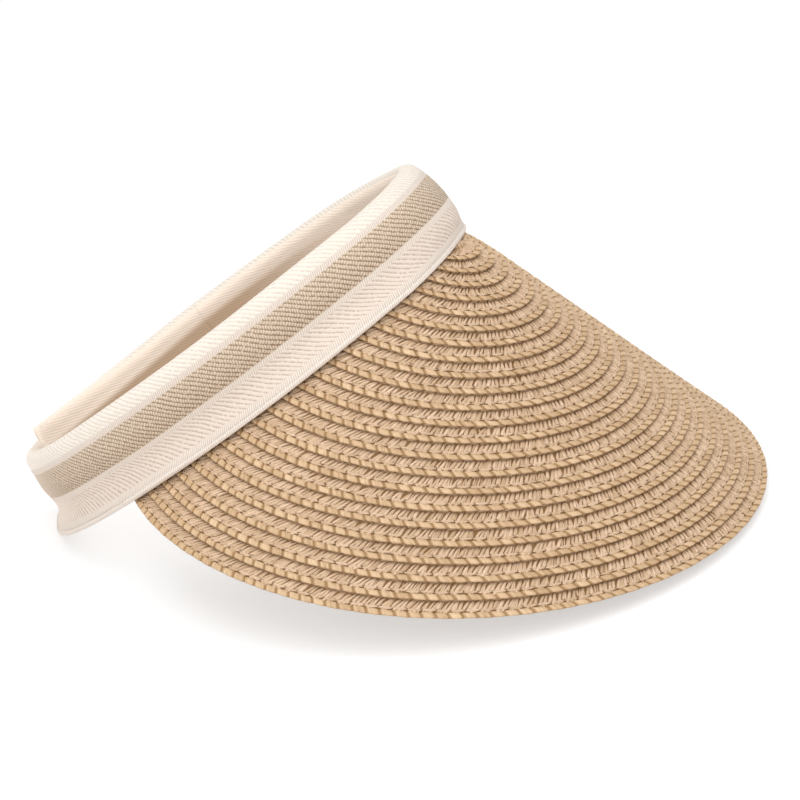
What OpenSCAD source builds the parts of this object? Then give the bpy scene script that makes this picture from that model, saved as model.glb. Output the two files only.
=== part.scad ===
// Clip-on straw sun visor: a sprung, fabric-covered hoop that grips the head, and a brim of straw braid.
// Millimetres. +Z is up, the front is towards -Y and the wearer's left towards +X. The table is at z = 0.

/* [Brim] */
// Radius of the brim's outer edge about its peak
brim_r = 107; // [98:1:116]
// Height of the brim's peak over the plane of its edge
brim_rise = 86; // [80:1:92]
// Bulge of the brim's slope over a straight line
brim_dome = 0.8; // [0.4:0.1:4]
// Number of rows of straw braid
row_count = 23; // [16:1:26]
// Thickness of the braid
braid_t = 1.2; // [0.8:0.1:1.6]
// Width of each row that lies under the row above it
row_lap = 2.2; // [1:0.1:3]
// Clearance between two rows that are sewn together
row_gap = 0.25; // [0.15:0.05:0.4]
// Length of braid tucked in behind the band's lower edge
brim_tuck = 3; // [1:0.5:3.5]
// Clearance between the braid and the band's lower edge
seam_gap = 0.4; // [0.2:0.1:0.8]

/* [Hoop] */
// Radius of the hoop over the forehead
front_r = 40; // [36:1:46]
// Turn of the forehead arc, from the middle to each side
front_turn = 47; // [40:1:54]
// Radius of the hoop along the temples
side_r = 124; // [112:1:140]
// Turn of each temple arc
side_turn = 57; // [54:1:62]
// Radius of the free tails behind the brim
tail_r = 78; // [64:1:90]
// Turn of each tail
tail_turn = 60; // [48:1:61]
// Tilt of the hoop against the plane of the brim's edge
hoop_tilt = 39; // [36:0.5:42]
// Distance of the band's front lower edge before the brim's peak
hoop_ahead = 4.3; // [3:0.1:6]
// Distance of the band's front lower edge below the brim's peak
hoop_below = 3.6; // [2.5:0.1:5]
// Drop of the tails' ends below the plane of the hoop's front
hoop_sag = 3.6; // [0:0.1:5]
// Gap at each root of the tails, on the outer face, where the hoop bends
split_gap = 0.3; // [0.2:0.05:0.5]
// Inward bend of the tails that the gap leaves room for by opening towards the inner face
bend_in = 4; // [3:0.5:8]

/* [Band] */
// Height of the band
band_h = 29.5; // [26:0.5:34]
// Thickness of the padded part of the band
band_t = 6.2; // [5.8:0.1:7.5]
// Thickness of the outer webbing
web_t = 1.2; // [0.8:0.1:1.4]
// Height of the waist over the lower edge
waist_v = 9; // [7:0.5:10]
// Depth of the waist at the temples and tails
waist_side = 1.6; // [0.5:0.1:1.9]
// Depth of the waist at the front; below zero the band bulges there
waist_front = -0.8; // [-1.2:0.1:1]
// Height of the fullest line over the lower edge
bulge_v = 19; // [16:0.5:21]
// How far the lower edge stands beyond the fullest line at the front, where it is drawn in
flange_front = -1.2; // [-1.5:0.1:0.5]
// How far the lower edge flares beyond the fullest line at the temples and tails
flange_side = 1.4; // [0.5:0.1:2]
// Turn from the front at which the flare and the waist are full
flange_turn = 75; // [60:1:90]
// Length of webbing turned in over the top edge
turn_in = 3; // [2:0.5:5]
// Thickness of the inner lining
lining_t = 1; // [0.6:0.1:1.2]
// Height of the lining's lower edge
lining_v = 1; // [0.5:0.5:2]
// Thickness of the spring strip
core_t = 1; // [0.6:0.1:1.2]
// Height of the spring strip's lower edge
core_v = 10; // [9:0.5:12]
// Clearance between the band's layers
layer_gap = 0.1; // [0.05:0.05:0.15]
// Height of the hem's stitching over the lower edge
stitch_v = 2.4; // [2:0.1:4]
// Radius of the stitching thread
thread_r = 0.3; // [0.2:0.05:0.4]
// Length of each tail's end that stands on the table
rest_len = 5; // [4:0.5:7]

/* [Hidden] */
// Steps along a straw row, along the front of the band and along a tail
row_steps = 36;
front_steps = 40;
tail_steps = 12;
// Steps in a curve of the band's section, round a thread and along the seam
curve_steps = 4;
thread_steps = 8;
seam_steps = 120;
// How strongly the rows are drawn out to the hoop near their ends
spread_power = 2;
// How late along its length the hoop drops
sag_power = 1.5;
// Least distance past the seam's front at which a row has a width of its own
seam_start = 1.5;

// Brim slope: an arc from the peak down to the edge
slope_chord = norm([brim_r, brim_rise]);
slope_turn = 4 * atan(2 * brim_dome / slope_chord);
slope_r = slope_chord / (2 * sin(slope_turn / 2));
slope_len = slope_r * slope_turn * PI / 180;
slope_first = atan(brim_rise / brim_r) - slope_turn / 2;
peak = [0, 0, brim_rise];

// Hoop: tangent arcs about three centres, in the hoop's own plane
split_turn = front_turn + side_turn;
end_turn = split_turn + tail_turn;
front_centre = [0, front_r];
side_centre = front_centre + (front_r - side_r) * [sin(front_turn), -cos(front_turn)];
tail_centre = side_centre + (side_r - tail_r) * [sin(split_turn), -cos(split_turn)];

// Band section: u points outwards from the hoop's line, v up from the lower edge
roll_r = band_t / 2;
roll_v = band_h - roll_r;
lining_top = roll_v - turn_in - layer_gap;
core_u = web_t + layer_gap - band_t;
core_top = roll_v - layer_gap;
pad_u = core_u + core_t + layer_gap;
side_foot = [flange_side, waist_side];

// Straw rows
seam = [
    for (i = [0 : seam_steps])
        let (turn = end_turn * i / seam_steps)
        [norm(seam_point(turn) - peak), turn]
];
first_slope = seam[0][0] + seam_start;
row_pitch = (slope_len - first_slope) / row_count;
row_width = row_pitch + row_lap;
row_climb = (braid_t + row_gap) * row_width / row_pitch;

// Tails: where they start, where they come to stand on the table and where their webbing is folded in
root_turn = split_turn + arc_turn(split_gap);
rest_turn = end_turn - arc_turn(rest_len);
fold_turn = end_turn - arc_turn(web_t);

// Standing pose: a plane through the brim's front edge and the inner edge of the tails' feet
rim_corner = brim_point(slope_len, 0, -braid_t);
tail_corner = hoop_point(rest_turn, flange_side - web_t, 0);
table_tilt = atan2(rim_corner[2] - tail_corner[2], tail_corner[1] - rim_corner[1]);
front_y = stand_y(brim_point(slope_len, 0, 0));
back_y = max([for (p = outer_line(side_foot)) stand_y(hoop_point(end_turn, p[0], p[1]))]);
lift = -rim_corner[1] * sin(table_tilt) - rim_corner[2] * cos(table_tilt);

TAILS = ["left", "right"];
LAYERS = ["webbing", "lining", "spring_strip", "padding", "hem_thread"];

// Names of the straw rows, counted from the peak outwards
function row_name(i) = str("brim_row_", i < 10 ? "0" : "", i);

// Turn that a length takes up along a tail
function arc_turn(length) = length / tail_r * 180 / PI;

// Turn by which the front stops short of the tails' roots at a distance u outwards
function notch_turn(u) = (flange_side - u) * tan(bend_in) / side_r * 180 / PI;

// Y of a point once the visor is tilted to stand on the table
function stand_y(p) = p[1] * cos(table_tilt) - p[2] * sin(table_tilt);

// Point once the visor stands on the table, centred front to back; nothing sinks into the table
function stand(p) = [
    p[0],
    stand_y(p) - (front_y + back_y) / 2,
    max(p[1] * sin(table_tilt) + p[2] * cos(table_tilt) + lift, 0)
];

// Foot of the band at a turn from the front: the flare of its lower edge and the depth of its waist.
// Both go from their size at the front to their size at the side in a smooth step.
function foot(turn) = let (
    share = min(abs(turn) / flange_turn, 1),
    front_foot = [flange_front, waist_front]
) front_foot + (side_foot - front_foot) * (1 - cos(180 * share)) / 2;

// Point of the band's outer face at height v: flared foot, drawn-in waist, full upper part
function face_point(v, foot) = v < waist_v
    ? [(foot[0] + foot[1]) * (1 + cos(180 * v / waist_v)) / 2 - foot[1], v]
    : [-foot[1] * (1 + cos(180 * (v - waist_v) / (bulge_v - waist_v))) / 2, v];

// Outer face of the band from its lower edge up to the fullest line
function face_curve(foot) = concat(
    [for (i = [0 : curve_steps - 1]) face_point(waist_v * i / curve_steps, foot)],
    [for (i = [0 : curve_steps]) face_point(waist_v + (bulge_v - waist_v) * i / curve_steps, foot)]
);

// Outside of the webbing: up the face, over the round top edge and down to the end that is turned in
function outer_line(foot) = concat(
    face_curve(foot),
    [
        for (i = [0 : 2 * curve_steps])
            let (a = 90 * i / curve_steps)
            [roll_r * (cos(a) - 1), roll_v + roll_r * sin(a)]
    ],
    [[-band_t, roll_v - turn_in]]
);

// Line moved to its left by a distance, point by point
function inset(line, d) = [
    for (i = [0 : len(line) - 1])
        let (
            along = line[min(i + 1, len(line) - 1)] - line[max(i - 1, 0)],
            step = along / norm(along)
        )
        line[i] + d * [-step[1], step[0]]
];

// Points of a list in reverse order
function backwards(line) = [for (i = [len(line) - 1 : -1 : 0]) line[i]];

// Plan of the hoop at a turn from the front, to the left where it is positive, moved outwards by u
function hoop_plan(turn, u) = let (
    t = abs(turn),
    way = [sin(t), -cos(t)],
    p = t < front_turn ? front_centre + (front_r + u) * way
        : t < split_turn ? side_centre + (side_r + u) * way
        : tail_centre + (tail_r + u) * way
) [sign(turn) * p[0], p[1]];

// Drop of the hoop at a turn from the front
function sag(turn) = hoop_sag * pow(abs(turn) / end_turn, sag_power);

// Point of the band in the brim's frame, where its section has dropped by a given length
function dropped_point(turn, u, v, drop) = let (p = hoop_plan(turn, u), h = v - drop) [
    p[0],
    p[1] * cos(hoop_tilt) + h * sin(hoop_tilt) - hoop_ahead,
    h * cos(hoop_tilt) - p[1] * sin(hoop_tilt) + brim_rise - hoop_below
];

// Point of the band in the brim's frame
function hoop_point(turn, u, v) = dropped_point(turn, u, v, sag(turn));

// Seam: the line just inside the band's lower edge, where the braid runs in
function seam_point(turn) = hoop_point(turn, foot(turn)[0] - web_t - seam_gap, -seam_gap);

// Point of the plain brim at a distance down the slope and an angle from the front, raised along its normal
function brim_point(s, angle, raise) = let (
    slope = slope_first + slope_turn * s / slope_len,
    r = slope_r * (sin(slope) - sin(slope_first)) + raise * sin(slope),
    z = brim_rise + slope_r * (cos(slope) - cos(slope_first)) + raise * cos(slope)
) [r * sin(angle), -r * cos(angle), z];

// Point of a straw row: share runs from -1 at the right seam to 1 at the left one.
// The ends of the plain row are drawn out to the hoop, and the middle stays on the slope.
function row_point(s, share, raise) = let (
    s_seam = max(s, first_slope),
    end = seam_point(lookup(s_seam, seam)),
    end_angle = atan2(end[0], -end[1]),
    pull = end - brim_point(s_seam, end_angle, 0),
    amount = pow(abs(share), spread_power)
) brim_point(s, share * end_angle, raise) + amount * [sign(share) * pull[0], pull[1], pull[2]];

// Standing solid through a row of rings of points, closed at both ends
module loft(rings) {
    count = len(rings[0]);
    last = (len(rings) - 1) * count;
    sides = [
        for (k = [0 : count : last - count])
            for (c = [0 : count - 1])
                let (a = k + c, b = k + (c + 1) % count)
                each [[a, b, b + count], [a, b + count, a + count]]
    ];
    near_end = [for (c = [count - 1 : -1 : 0]) c];
    far_end = [for (c = [0 : count - 1]) last + c];
    polyhedron([for (ring = rings) for (p = ring) stand(p)], concat(sides, [near_end, far_end]));
}

// Solid of one tail through stations from its root to its tip, each a turn and the section there
module tail_loft(tail, stations) {
    side = tail == "left" ? 1 : -1;
    ordered = tail == "left" ? stations : backwards(stations);
    loft([for (s = ordered) [for (p = s[1]) hoop_point(side * s[0], p[0], p[1])]]);
}

// Corners of an upright tape
function tape(u, v, thick, high) = [[u, v], [u + thick, v], [u + thick, v + high], [u, v + high]];

// Section of the webbing: one tape up the outer face and over the top edge
function webbing_section(foot) = let (line = outer_line(foot))
    concat(line, backwards(inset(line, web_t)));

// Section of the folded end that closes a tail: the whole band, with as many points as the webbing's section
function end_section(foot) = let (
    line = outer_line(foot),
    top = line[len(line) - 1],
    bottom = [-band_t, lining_v]
) concat(line, [for (i = [1 : len(line)]) top + (bottom - top) * i / len(line)]);

// Section of the padding between the spring strip and the webbing
function padding_section(foot) = let (
    line = [for (p = inset(outer_line(foot), web_t + layer_gap)) if (p[0] > pad_u) p],
    face = [for (p = line) if (p[1] > core_v && p[1] < core_top) p],
    foot_u = lookup(core_v, [for (p = line) [p[1], p[0]]])
) concat(
    [[pad_u, core_v], [foot_u, core_v]],
    face,
    [[-web_t - layer_gap, core_top], [pad_u, core_top]]
);

// Section of the hem's stitching thread, lying on the webbing
function hem_thread_section(foot) = let (
    lean = face_point(stitch_v + thread_r, foot) - face_point(stitch_v - thread_r, foot),
    out = [lean[1], -lean[0]] / norm(lean),
    centre = face_point(stitch_v, foot) + (thread_r + layer_gap / 2) * out
) [for (i = [0 : thread_steps - 1]) let (a = 360 * i / thread_steps) centre + thread_r * [cos(a), sin(a)]];

// Section of a named layer of the band
function layer_section(layer, foot) =
    layer == "webbing" ? webbing_section(foot)
    : layer == "lining" ? tape(-band_t, lining_v, lining_t, lining_top - lining_v)
    : layer == "spring_strip" ? tape(core_u, core_v, core_t, core_top - core_v)
    : layer == "padding" ? padding_section(foot)
    : hem_thread_section(foot);

// Colour of a named layer
function layer_colour(layer) =
    layer == "webbing" ? "linen"
    : layer == "lining" ? "bisque"
    : layer == "spring_strip" ? "lightgray"
    : layer == "padding" ? "khaki"
    : "white";

// One straw row: a strip of braid that climbs from under the row above it to the top of the row below it
module brim_row(i) {
    s_out = first_slope + i * row_pitch;
    s_in = s_out - row_width;
    corners = [
        [s_in, -braid_t - row_climb],
        [s_out, -braid_t],
        [s_out, 0],
        [s_in, -row_climb]
    ];
    edge = [for (k = [0 : row_steps]) row_point(s_out, k / row_steps, 0)];
    edge_steps = [for (k = [1 : row_steps]) norm(edge[k] - edge[k - 1])];
    half_len = edge_steps * [for (step = edge_steps) 1];
    reach = 1 + brim_tuck / half_len;
    color("burlywood")
        loft([
            for (k = [0 : row_steps])
                [for (c = corners) row_point(c[0], reach * (2 * k / row_steps - 1), c[1])]
        ]);
}

// The part of a layer that holds the brim
module layer_front(layer) {
    color(layer_colour(layer))
        loft([
            for (k = [0 : front_steps])
                let (share = 2 * k / front_steps - 1, turn = share * split_turn)
                [
                    for (p = layer_section(layer, foot(turn)))
                        dropped_point(turn - share * notch_turn(p[0]), p[0], p[1], sag(turn))
                ]
        ]);
}

// A layer's free tail; the webbing is folded in at the tail's end
module layer_tail(layer, tail) {
    section = layer_section(layer, side_foot);
    tip = fold_turn - arc_turn(layer_gap);
    steps = [
        for (k = [0 : tail_steps])
            let (turn = root_turn + (rest_turn - root_turn) * k / tail_steps)
            [turn, section]
    ];
    end = layer == "webbing"
        ? [[tip, section], [fold_turn, end_section(side_foot)], [end_turn, end_section(side_foot)]]
        : [[tip - arc_turn(layer_gap), section]];
    color(layer_colour(layer))
        tail_loft(tail, concat(steps, end));
}

for (i = [1 : row_count])
    brim_row(i);
for (layer = LAYERS) {
    layer_front(layer);
    for (tail = TAILS)
        layer_tail(layer, tail);
}
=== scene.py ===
"""A clip-on straw sun visor: rows of knitted straw braid, a striped padded band, its lining and stitching.

Every piece is worked out from the sizes in the property groups, in metres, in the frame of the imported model.
"""

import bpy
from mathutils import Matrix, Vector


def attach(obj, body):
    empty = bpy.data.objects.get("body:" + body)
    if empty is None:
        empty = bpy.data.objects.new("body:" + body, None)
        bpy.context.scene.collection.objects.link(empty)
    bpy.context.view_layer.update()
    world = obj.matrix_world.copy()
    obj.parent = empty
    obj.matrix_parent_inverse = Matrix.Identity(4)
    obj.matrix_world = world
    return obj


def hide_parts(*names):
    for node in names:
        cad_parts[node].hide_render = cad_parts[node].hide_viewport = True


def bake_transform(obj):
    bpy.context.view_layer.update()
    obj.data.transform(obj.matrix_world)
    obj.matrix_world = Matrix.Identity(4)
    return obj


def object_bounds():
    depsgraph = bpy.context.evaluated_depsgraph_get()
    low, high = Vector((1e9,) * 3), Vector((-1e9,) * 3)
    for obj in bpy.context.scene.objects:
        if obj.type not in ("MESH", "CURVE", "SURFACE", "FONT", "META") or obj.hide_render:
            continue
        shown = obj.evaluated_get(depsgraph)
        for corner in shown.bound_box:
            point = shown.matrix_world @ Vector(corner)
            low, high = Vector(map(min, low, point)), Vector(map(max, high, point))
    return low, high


bl_info = {
    "name": "Straw Sun Visor",
    "version": (1, 0, 0),
    "blender": (4, 5, 0),
    "location": "View3D > Sidebar > Visor",
    "description": "Builds a clip-on sun visor of sewn straw braid on a striped, padded hoop",
    "category": "Add Mesh",
}

import math

import bpy
import numpy as np
from mathutils import Matrix

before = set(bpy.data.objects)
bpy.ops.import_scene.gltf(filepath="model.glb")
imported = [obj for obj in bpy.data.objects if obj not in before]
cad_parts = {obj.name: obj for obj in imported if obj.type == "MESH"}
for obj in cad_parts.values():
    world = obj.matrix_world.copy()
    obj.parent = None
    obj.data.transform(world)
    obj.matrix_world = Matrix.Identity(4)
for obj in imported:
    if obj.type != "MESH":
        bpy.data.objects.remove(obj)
CAD_BOX = [list(corner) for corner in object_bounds()]
MM = 0.001
TAILS = {"tail_left": 1, "tail_right": -1}
IMAGE_SIZE = 800
SENSOR_W = 36
SEAM_STEPS = 121
ROW_STEPS = 241
TIP_LINES = 9
INNER_LINES = 24
BEND_START = 1.5 * MM
BEND_END = 44 * MM
FLOOR_HALF = 6.0
FLOOR_DROP = 0.1 * MM
LAMP_TARGET = (0, 0, 0.05)
LAMPS = {
    "key": (1.3, (-0.35, -0.25, 1.45)),
    "fill": (1.0, (-1.3, -0.6, 0.95)),
    "back": (0.8, (-1.0, 0.85, 0.6)),
}


def length(name, description, millimetres):
    """A length in metres whose default is given in millimetres."""
    return bpy.props.FloatProperty(
        name=name, description=description, default=millimetres * MM, unit="LENGTH", precision=5
    )


def angle(name, description, degrees):
    """An angle in radians whose default is given in degrees."""
    return bpy.props.FloatProperty(
        name=name, description=description, default=math.radians(degrees), subtype="ANGLE"
    )


def factor(name, description, default):
    """A plain number without a unit."""
    return bpy.props.FloatProperty(name=name, description=description, default=default)


def count(name, description, default):
    """A whole number of at least one."""
    return bpy.props.IntProperty(name=name, description=description, default=default, min=1)


def colour(name, description, red, green, blue):
    """A colour whose default is given as it looks on a screen, from 0 to 255 a channel."""
    screen = np.array([red, green, blue]) / 255
    light = np.where(screen <= 0.04045, screen / 12.92, ((screen + 0.055) / 1.055) ** 2.4)
    return bpy.props.FloatVectorProperty(
        name=name, description=description, default=light.tolist(), subtype="COLOR", size=3, min=0, max=1
    )


def joined(*axes):
    """Points whose coordinates are the given arrays, brought to one shape."""
    return np.stack(np.broadcast_arrays(*axes), axis=-1)


def eased(share):
    """Smooth step of a share from 0 to 1: three times its square less twice its cube."""
    return share * share * (3 - 2 * share)


def bell(distance, width):
    """Bell curve that is 1 at no distance: e to the power of minus the square of distance over width."""
    return np.exp(-((distance / width) ** 2))


def unit(vector):
    """A vector brought to the length 1."""
    return vector / np.linalg.norm(vector)


class VisorForm(bpy.types.PropertyGroup):
    """Driving sizes of the brim and the hoop, the same as in the solids."""

    brim_r: length("Brim radius", "Radius of the brim's outer edge about its peak", 107)
    brim_rise: length("Brim rise", "Height of the brim's peak over the plane of its edge", 86)
    brim_dome: length("Brim dome", "Bulge of the brim's slope over a straight line", 0.8)
    row_count: count("Rows", "Number of rows of straw braid", 23)
    braid_t: length("Braid thickness", "Thickness of the braid", 1.2)
    row_lap: length("Row lap", "Width of each row that lies under the row above it", 2.2)
    row_gap: length("Row gap", "Clearance between two rows that are sewn together", 0.25)
    brim_tuck: length("Brim tuck", "Length of braid tucked in behind the band's lower edge", 3)
    seam_gap: length("Seam gap", "Clearance between the braid and the band's lower edge", 0.4)
    seam_start: length("Seam start", "Distance past the seam's front at which the first row starts", 1.5)
    spread_power: factor("Spread", "How late the rows are drawn out to the hoop near their ends", 2)
    front_r: length("Front radius", "Radius of the hoop over the forehead", 40)
    front_turn: angle("Front turn", "Turn of the forehead arc, from the middle to each side", 47)
    side_r: length("Side radius", "Radius of the hoop along the temples", 124)
    side_turn: angle("Side turn", "Turn of each temple arc", 57)
    tail_r: length("Tail radius", "Radius of the free tails behind the brim", 78)
    tail_turn: angle("Tail turn", "Turn of each tail", 60)
    hoop_tilt: angle("Hoop tilt", "Tilt of the hoop against the plane of the brim's edge", 39)
    hoop_ahead: length("Hoop ahead", "Distance of the band's front lower edge before the brim's peak", 4.3)
    hoop_below: length("Hoop below", "Distance of the band's front lower edge below the brim's peak", 3.6)
    hoop_sag: length("Hoop sag", "Drop of the tails' ends below the plane of the hoop's front", 3.6)
    sag_power: factor("Sag power", "How late along its length the hoop drops", 1.5)
    band_h: length("Band height", "Height of the band", 29.5)
    band_t: length("Band thickness", "Thickness of the padded part of the band", 6.2)
    web_t: length("Webbing thickness", "Thickness of the outer webbing", 1.2)
    flange_front: length("Front flange", "How far the solids' lower edge stands out at the front", -1.2)
    flange_side: length("Side flange", "How far the solids' lower edge stands out at the sides", 1.4)
    flange_turn: angle("Flange turn", "Turn from the front at which the flare and the waist are full", 75)
    turn_in: length("Turn-in", "Length of webbing turned in over the top edge", 3)
    core_t: length("Strip thickness", "Thickness of the spring strip", 1)
    core_v: length("Strip foot", "Height of the spring strip's lower edge", 10)
    layer_gap: length("Layer gap", "Clearance between the band's layers", 0.1)
    rest_len: length("Rest length", "Length of each tail's end that stands on the table", 5)


class BraidLook(bpy.types.PropertyGroup):
    """Sizes and colours of the knitted straw braid."""

    link_pitch: length("Link pitch", "Distance from one link of the edge cord to the next", 4.3)
    link_w: length("Link half-width", "Half the width of the edge cord", 1.06)
    link_b: length("Link line", "Distance of the cord's middle from the row's outer edge", 1.0)
    link_slant: factor("Link slant", "Run over rise of the slants that part the links", 0.9)
    link_proud: length("Link height", "How far the edge cord stands over the braid", 0.16)
    pair_pitch: length("Stitch pitch", "Distance from one pair of strands to the next", 1.6)
    leg_w: length("Wide strand", "Half the width of the wide strand of a pair", 0.57)
    leg_lean: angle("Wide strand lean", "Lean of the wide strands along the row", 17)
    thin_w: length("Thin strand", "Half the width of the thin strand of a pair", 0.33)
    thin_lean: angle("Thin strand lean", "Lean of the thin strands along the row", 4)
    leg_foot: length("Strand foot", "Distance of the strands' feet from the row's outer edge", 1.9)
    hole_foot: length("Hole height", "Distance of the strands' feet from the outer edge at a hole", 3.0)
    hole_w: length("Hole half-width", "Half the width of a stitch hole", 0.4)
    lip_b: length("Lip line", "Distance of the smooth lip from the row's outer edge", 2.6)
    lip_w: length("Lip half-width", "Half the width of the smooth lip", 0.46)
    seam_b: length("Sewing line", "Distance of the sewing thread from the row's outer edge", 2.5)
    seam_pitch: length("Sewing pitch", "Distance from one sewing stitch to the next", 4.5)
    seam_r: length("Sewing thread", "Radius of the sewing thread", 0.1)
    rim_out: length("Rim reach", "How far the soft rim reaches past the solids", 1.3)
    rim_lift: length("Rim lift", "How far the soft rim is bent up at the front", 2.8)
    seed: count("Seed", "Start of the irregular draws", 7)
    light: colour("Light straw", "Straw where it catches the light", 230, 201, 172)
    mid: colour("Straw", "Usual colour of the straw", 198, 168, 136)
    # Colour of the painted shade in the gaps and folds of the straw.
    dark: colour("Dark straw", "Straw in the gaps and folds", 154, 118, 76)
    warm: colour("Warm straw", "Yellower straw", 200, 166, 127)
    edge_light: colour("Light edge", "Edge cord where it catches the light", 230, 200, 163)
    edge_mid: colour("Edge", "Usual colour of the edge cord", 194, 161, 123)
    thread: colour("Sewing thread", "Colour of the thread that sews the rows", 214, 184, 150)


class BandLook(bpy.types.PropertyGroup):
    """Sizes and colours of the striped band as it is dressed."""

    flare_front: length("Front flare", "How far the lower edge stands out at the front", -1.7)
    flare_side: length("Side flare", "How far the lower edge stands out at the sides", 2.6)
    waist_front: length("Front waist", "Depth of the waist at the front; below zero it bulges", -0.9)
    waist_side: length("Side waist", "Depth of the waist at the sides", 1.6)
    waist_v: length("Waist height", "Height of the waist over the lower edge", 8)
    bulge_v: length("Bulge height", "Height of the fullest line over the lower edge", 18)
    bead_v: length("Bead height", "Height of the rolled bead along the lower edge", 1.0)
    bead_proud: length("Bead depth", "How far the bead stands out", 0.28)
    groove_v: length("Groove height", "Height of the hem's groove over the lower edge", 1.3)
    low_rib_v: length("Low rib", "Height of the top of the lowest rib", 3.3)
    white_v: length("Lower white", "Height of the top of the lower white stripe", 10.4)
    beige_v: length("Beige foot", "Height of the beige stripe's lower border", 12.3)
    beige_top: length("Beige top", "Height of the beige stripe's upper border", 22.8)
    rib_top: length("Top rib", "Height of the top of the highest rib", 24.7)
    twill_along: length("Twill along", "Period of the twill along the band", 2.2)
    low_across: length("Low twill across", "Period of the twill up the lower white stripe", 1.82)
    mid_across: length("Middle twill across", "Period of the twill up the beige stripe", 2.04)
    high_across: length("High twill across", "Period of the twill up the upper white stripe", 2)
    twill_relief: length("Twill relief", "Height of the twill's ridges", 0.06)
    rib_pitch: length("Rib pitch", "Period of the ladder lines in a rib", 0.8)
    smooth_len: length("Smooth end", "Length of a tail's end on which the weave is pressed smooth", 54)
    lean_right: angle("Right lean", "Inward lean of the right tail's top at its end", 17.5)
    lean_left: angle("Left lean", "Inward lean of the left tail's top at its end", 15)
    lean_v: length("Right lean line", "Height of the line about which the right tail leans", 16.5)
    left_lean_v: length("Left lean line", "Height of the line about which the left tail leans", 29)
    end_thin: factor("Thin end", "Share of its thickness that a tail loses towards its end", 0.5)
    thin_len: length("Thin length", "Length of a tail's end that thins out", 50)
    left_lift: length("Left lift", "How far the left tail's end is lifted", 3.4)
    front_len: length("Front length", "Length along the band on which its front is rounded", 40)
    front_v: length("Front height", "Height above which the front of the band curves in", 15)
    front_in: length("Front roll", "How far the top of the band curves in at the front", 3.5)
    front_drop: length("Front drop", "How far the top of the band drops at the front", 0.8)
    front_full: length("Front fullness", "How far the band's front swells at half its height", 0.8)
    core_end: length("Core end", "Distance from a tail's tip at which its padding and its strip end", 5)
    step: length("Mesh step", "Distance between two mesh lines of the webbing", 0.44)
    lining_proud: length("Lining proud", "How far the lining stands in from the solid", 0.25)
    lining_t: length("Lining thickness", "Thickness of the lining", 0.9)
    lining_v: length("Lining foot", "Height of the lining's lower edge", 0.8)
    fold_v: length("Lining fold", "Height at which the lining turns under the padded roll", 24.3)
    fold_drop: length("Fold drop", "How much lower the lining's fold lies at the tails' ends", 2.5)
    roll_in: length("Lining roll", "How far the lining bulges in above its fold", 0.6)
    lining_turn: angle("Lining top", "Angle on the rolled top edge up to which the lining reaches", 145)
    tip_len: length("Tip length", "Length over which a tail's end is drawn together", 2.2)
    hem_pitch: length("Hem pitch", "Distance from one hem stitch to the next", 2.6)
    hem_r: length("Hem thread", "Radius of the hem's thread", 0.13)
    upper_white: colour("Upper white", "Stripe at the top of the band", 238, 229, 217)
    lower_white: colour("Lower white", "Stripe at the foot of the band", 228, 213, 200)
    rib: colour("Rib", "Narrow ribs between the stripes", 237, 225, 213)
    bead: colour("Bead", "Rolled edge at the foot of the band", 243, 232, 221)
    beige_top_light: colour("Light beige, top", "Yarn at the top of the middle stripe", 230, 211, 189)
    beige_light: colour("Light beige", "Yarn at the foot of the middle stripe", 219, 198, 175)
    beige_top_dark: colour("Dark beige, top", "Gaps at the top of the middle stripe", 164, 140, 117)
    beige_dark: colour("Dark beige", "Gaps at the foot of the middle stripe", 141, 117, 95)
    peach: colour("Lining", "Inner tape of the band", 252, 235, 218)
    # Colour of the painted shade on the tape below its fold.
    peach_shade: colour("Low lining", "Inner tape below its fold", 192, 164, 137)
    wadding: colour("Wadding", "Padding in the band", 236, 231, 220)
    strip: colour("Spring strip", "Springy strip in the band", 205, 208, 210)
    hem: colour("Hem thread", "Thread of the hem", 222, 214, 206)


class StageLook(bpy.types.PropertyGroup):
    """Camera, lamps and floor of the picture."""

    elevation: angle("Elevation", "Height of the camera over the plane of the brim's edge", 25.94)
    heading: angle("Heading", "Turn of the camera from the right side towards the front", 14.69)
    distance: length("Distance", "Distance of the camera from the middle of the brim's edge", 855.4)
    focal_px: factor("Focal length", "Focal length in pixels of the square picture", 2507.8)
    aim_x: factor("Aim across", "Pixel across at which the middle of the brim's edge lies", 448.5)
    aim_y: factor("Aim down", "Pixel down at which the middle of the brim's edge lies", 462.2)
    sky: factor("Sky", "Strength of the even light all round", 0.68)
    key: factor("Key lamp", "Power of the large lamp overhead, in watts", 10.3)
    fill: factor("Fill lamp", "Power of the large lamp beside the camera, in watts", 5.2)
    back: factor("Back lamp", "Power of the soft lamp behind the tails, in watts", 2.8)
    floor_glow: factor("Floor glow", "Light that the floor adds for the camera, to stay white", 0.5)
    floor: colour("Floor", "Colour of the floor for the light that it throws back", 246, 246, 246)
    floor_seen: colour("Seen floor", "Colour of the floor for the camera", 198, 198, 198)


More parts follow.
